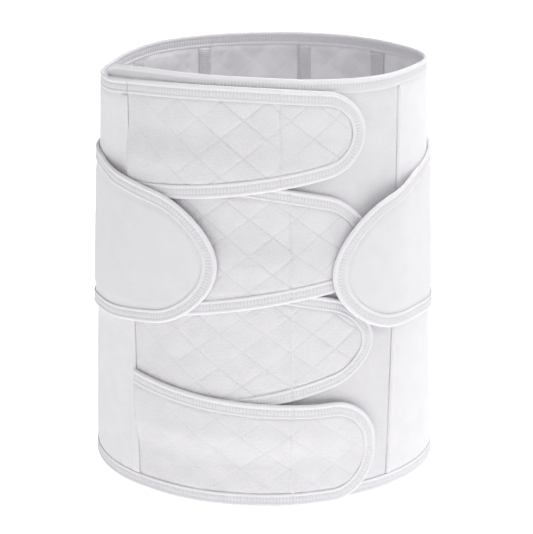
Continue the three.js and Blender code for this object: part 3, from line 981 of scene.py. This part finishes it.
def make_strip(name, thread):
    """A strip along a seam or a stay, crowned across, with its ends pressed flat and its stitches."""
    row = STRIPS[name]
    across = np.linspace(-0.5, 0.5, STRIP_COLUMNS)[:, None]
    rows = np.linspace(0, 1, STRIP_ROWS)[None, :]
    top = float(rim(strip_centre(name, HEIGHT))) - STRIP_END
    z = STRIP_END + (top - STRIP_END) * rows + 0 * across
    angle = strip_centre(name, z) + np.degrees(across * row["width"] / half_width(z))
    face = row["face"]
    base = wrap_level(angle, z) + face * (half_on_wrap(angle, z) + STRIP_GAP)
    from_end = np.minimum(z - STRIP_END, top - z)
    least = STRIP_PRESS["least"]
    press = least + (1 - least) * ramp(from_end, STRIP_PRESS["none"], STRIP_PRESS["full"])
    height = row["crown"] + row["thickness"] * STRIP_BODY
    crown = STRIP_EDGE + height * (1 - (2 * across) ** 4) * press
    sewn = 0 * across
    for share in row["rows"]:
        sewn = sewn + np.exp(-((across - share) * row["width"] / STRIP_GROOVE_REACH) ** 2)
    stand = base + face * (crown - STRIP_GROOVE * sewn)
    outer, inner = (stand, base) if face > 0 else (base, stand)
    piece = cloth(name, angle, z, outer, inner, "stretch" if face > 0 else "tape")
    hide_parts(name)
    for share in row["rows"]:

        def at(s, share=share):
            z = STRIP_END + s
            angle = strip_centre(name, z) + np.degrees(share * row["width"] / half_width(z))
            rise = half_on_wrap(angle, z) + height - STRIP_GROOVE
            return spot_with_up(angle, z, wrap_level(angle, z) + face * rise, face)

        thread.line(at, top - STRIP_END)
    return piece


# Bands

BAND_STEP = 0.85
BAND_SWELL = 0.22
BAND_WAVE = 34
BAND_ROLL = 0.22
BAND_ROLL_REACH = 1.5

# Where the quilting is faintest and full, as angles, and how strong it is from place to place
QUILTING_FADE = {"none": -46.0, "full": -14.0, "least": 0.25}
QUILTING_MEAN = 0.8
QUILTING_SPREAD = 0.35
QUILTING_WAVE = 45

# The upright seam is a ridge between two grooves, or a plain sunken line
SEAM_RIDGE = 0.6
SEAM_GROOVE = 0.5
SEAM_GROOVE_PLACE = 0.75
SEAM_GROOVE_REACH = 0.7
SEAM_LINE = 0.8
SEAM_LINE_REACH = 0.8

# Length of a quilting line before it is cut to the band, lines to each side of the node, how deep the
# stitches lie, and how far they keep from the binding
QUILT_LINE = 400
QUILT_LINES = 9
QUILT_STITCH_SINK = 0.04
SEAM_STITCH_SINK = 0.15
QUILT_STITCH_ROOM = 1.5
SEAM_STITCH_ROOM = 0.5


def from_quilt_line(u, z, node):
    """Distance in millimetres to the nearest line of the diamond quilting."""
    across, up = quilt_repeats(u, z, node)
    first = np.abs(across + up - np.round(across + up)) * QUILT_SPACING
    second = np.abs(across - up - np.round(across - up)) * QUILT_SPACING
    return np.minimum(first, second)


def quilting_strength(band, u, z, seed):
    """The quilting fades out towards the left and comes and goes with the padding."""
    # It scales the relief of the lines and their painted shade alike
    least = QUILTING_FADE["least"]
    fade = ramp(u, along(QUILTING_FADE["none"]), along(QUILTING_FADE["full"]))
    uneven = QUILTING_MEAN + QUILTING_SPREAD * rumple(u, z, QUILTING_WAVE, seed + 11)
    return band["quilting"] * (least + (1 - least) * fade) * uneven


def band_face(band, tongue, seed):
    """Stand-out of a band's quilted face over its plain cloth."""
    def face(angle, z):
        u = along(angle)
        inside = tongue.inside(angle, z)
        near = from_quilt_line(u, z, band["node"])
        strength = quilting_strength(band, u, z, seed)
        puff = QUILT_PUFF * (1 - np.exp(-(near / PUFF_REACH) ** 2))
        quilt = puff - QUILT_CREASE * np.exp(-(near / CREASE_REACH) ** 2)
        seam = np.abs(u - along(band["seam"]))
        if band["seam_ridge"]:
            groove = (seam - band["seam_ridge"] * SEAM_GROOVE_PLACE) / SEAM_GROOVE_REACH
            ridge = SEAM_RIDGE * np.exp(-(seam / band["seam_ridge"]) ** 2)
            ridge = ridge - SEAM_GROOVE * np.exp(-groove ** 2)
        else:
            ridge = -SEAM_LINE * np.exp(-(seam / SEAM_LINE_REACH) ** 2)
        root = np.abs(u - along(tongue.root_at(z)))
        dip = -SEAM_DIP * np.exp(-(root / SEAM_DIP_REACH) ** 2)
        roll = -BAND_ROLL * np.exp(-np.maximum(inside - BINDING_WIDTH, 0) / BAND_ROLL_REACH)
        soft = BAND_SWELL * rumple(u, z, BAND_WAVE, seed) + puckers(u, inside, seed)
        return (quilt * strength + ridge + soft + dip + roll) * ramp(inside, *RELIEF["band"])
    return face


def quilting_stitches(thread, band, tongue, level, face):
    """The stitches along the slanted quilting lines, both ways."""
    scale = math.hypot(DIAMOND_WIDTH, DIAMOND_HEIGHT)
    run_u, run_z = DIAMOND_WIDTH / scale, DIAMOND_HEIGHT / scale
    u_node, z_node = along(band["node"][0]), HEIGHT * band["node"][1]

    def spot(s, k, direction):
        """Angle and height at a length along line k, whose middle is k diamonds beside the node."""
        from_middle = s - QUILT_LINE / 2
        angle = angle_at(u_node + k * DIAMOND_WIDTH + from_middle * run_u)
        return angle, z_node + direction * from_middle * run_z

    def at(s, k, direction):
        angle, z = spot(s, k, direction)
        stand = level(angle, z) + CLOTH / 2 + face(angle, z) - QUILT_STITCH_SINK
        return spot_with_up(angle, z, stand)

    def keep(s, k, direction):
        angle, z = spot(s, k, direction)
        between = (angle > tongue.root_at(z) + QUILT_STITCH_ROOM) & (angle < band["tip"])
        inside = tongue.inside(angle, z) > BINDING_WIDTH + QUILT_STITCH_ROOM
        return inside & between & (z > 0) & (z < HEIGHT)

    for direction in (1, -1):
        for k in range(-QUILT_LINES, QUILT_LINES):
            line = {"k": k, "direction": direction}
            thread.line(functools.partial(at, **line), QUILT_LINE, functools.partial(keep, **line),
                        thickness=QUILT_THREAD)


def seam_stitches(thread, band, tongue, level, face):
    """The stitches up a band's upright seam: one row, or one on each side of its ridge."""
    beside = band["seam_ridge"] * SEAM_GROOVE_PLACE
    for offset in ((-beside, beside) if beside else (0.0,)):
        turn = angle_at(along(band["seam"]) + offset)

        def at(z, turn=turn):
            angle = np.full_like(z, turn)
            stand = level(angle, z) + CLOTH / 2 + face(angle, z) - SEAM_STITCH_SINK
            return spot_with_up(angle, z, stand)

        def keep(z, turn=turn):
            return tongue.inside(turn, z) > BINDING_WIDTH + SEAM_STITCH_ROOM

        thread.line(at, HEIGHT, keep, thickness=QUILT_THREAD)


def make_band(index, band):
    """A band with its binding and its thread."""
    tongue = Tongue(band, lambda z: seam_angle(LEFT_SEAM, z) + SEAM_GAP)
    level = band_level(band)
    seed = index + 2
    face = band_face(band, tongue, seed)
    angle, z = tongue.grid(BAND_STEP)
    half = cloth_half(tongue.inside(angle, z))
    middle = level(angle, z)
    # The strength also sets how much painted shade the material lays on the quilting lines
    strength = quilting_strength(band, along(angle), z, seed)
    piece = cloth(band["name"], angle, z, middle + half + face(angle, z), middle - half, "quilted",
                  band["node"], {"quilting": (strength, strength)})
    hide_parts(band["name"])
    edge_name = f"band_binding_{index + 1}"
    edge_piece, path = make_binding(edge_name, tongue.edge, 0, 4, level, [band["seam"]])
    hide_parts(edge_name)
    thread = Thread(f"stitching_{band['name']}")
    binding_stitches(thread, tongue.edge, path, level)
    quilting_stitches(thread, band, tongue, level, face)
    seam_stitches(thread, band, tongue, level, face)
    thread_piece = thread.make()


# Straps

STRAP_STEP = 2.0
STRAP_SWELL = 0.3
STRAP_WAVE = 70
STRAP_END_ROWS = (3.0, 8.0)
STRAP_GROOVE = 0.5
STRAP_GROOVE_REACH = 1.2
STRAP_STITCH_SINK = 0.3


def make_strap(index, strap):
    """A strap with its binding and its thread, sewn down by two rows at its root."""
    tongue = Tongue(strap, lambda z: strap["root"] + 0 * np.asarray(z, float))
    level = strap_level(strap)
    seed = index + 7
    angle, z = tongue.grid(STRAP_STEP)
    inside = tongue.inside(angle, z)
    half = cloth_half(inside)
    u = along(angle)
    root = np.abs(u - along(strap["root"]))
    soft = STRAP_SWELL * rumple(u, z, STRAP_WAVE, seed) + puckers(u, inside, seed)
    for from_root in STRAP_END_ROWS:
        soft = soft - STRAP_GROOVE * np.exp(-((root - from_root) / STRAP_GROOVE_REACH) ** 2)
    soft = soft * ramp(inside, *RELIEF["strap"])
    middle = level(angle, z)
    name = f"side_strap_{strap['name']}"
    piece = cloth(name, angle, z, middle + half + soft, middle - half, "strap")
    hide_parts(name)
    edge_name = f"strap_binding_{strap['name']}"
    edge_piece, path = make_binding(edge_name, tongue.edge, 0, 4, level)
    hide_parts(edge_name)
    thread = Thread(f"stitching_{name}")
    binding_stitches(thread, tongue.edge, path, level)
    for from_root in STRAP_END_ROWS:
        turn = angle_at(along(strap["root"]) + tongue.side * from_root)

        def at(z, turn=turn):
            angle = np.full_like(z, turn)
            return spot_with_up(angle, z, level(angle, z) + CLOTH / 2 - STRAP_STITCH_SINK)

        def keep(z, turn=turn):
            return tongue.inside(turn, z) > BINDING_WIDTH

        thread.line(at, HEIGHT, keep)
    thread_piece = thread.make()


# The whole body

def upright(turn):
    """The angles of a straight edge, the same at each height."""
    def edge(z):
        return turn + 0 * np.asarray(z, float)
    return edge


def beside_right_seam(gap):
    """The angles of a panel's edge along the slanted right front seam."""
    def edge(z):
        return seam_angle(RIGHT_SEAM, z) + gap
    return edge


def rim_edge(angle, inset):
    return np.broadcast_arrays(angle, rim(angle) - inset)


def hem_edge(angle, inset):
    return np.broadcast_arrays(angle, inset + 0 * angle)


def make_body():
    """The panels, the bindings of the rim and the hem, the strips and their thread."""
    back_right = BACK_CENTRE - BACK_SEAM_SPREAD
    back_left = BACK_CENTRE + BACK_SEAM_SPREAD
    panels = [
        ("front_underlap", upright(UNDERLAP_END), beside_right_seam(-SEAM_GAP), "loop"),
        ("right_side_panel", beside_right_seam(SEAM_GAP), upright(back_right - SEAM_GAP), "stretch"),
        ("back_panel", upright(back_right + SEAM_GAP), upright(back_left - SEAM_GAP), "stretch"),
        ("left_side_panel", upright(back_left + SEAM_GAP), wrap_end, "stretch"),
    ]
    thread = Thread("stitching_body")
    top_end, hem_end = float(wrap_end(HEIGHT)), float(wrap_end(0.0))
    top, top_path = make_binding("top_binding", rim_edge, UNDERLAP_END, top_end, wrap_level,
                                 both_faces=True)
    hem, hem_path = make_binding("bottom_binding", hem_edge, UNDERLAP_END, hem_end, wrap_level)
    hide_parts("top_binding")
    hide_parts("bottom_binding")
    binding_stitches(thread, rim_edge, top_path, wrap_level)
    binding_stitches(thread, hem_edge, hem_path, wrap_level)
    binding_stitches(thread, rim_edge, top_path, wrap_level, inner=True)
    strips = {name: make_strip(name, thread) for name in STRIPS}
    thread_piece = thread.make()
    sewn_on = {
        "left_side_panel": [strips.pop("front_seam_strip_left")],
        "right_side_panel": [strips.pop("front_seam_strip_right")],
        "back_panel": [top, hem, thread_piece, *strips.values()],
    }
    for seed, (name, start, end, finish) in enumerate(panels):
        piece, angle, z = make_panel(name, start, end, finish, seed)


bpy.ops.object.select_all(action="DESELECT")
make_camera()
make_body()
for number, row in enumerate(BANDS):
    make_band(number, row)
for number, row in enumerate(STRAPS):
    make_strap(number, row)
make_studio()
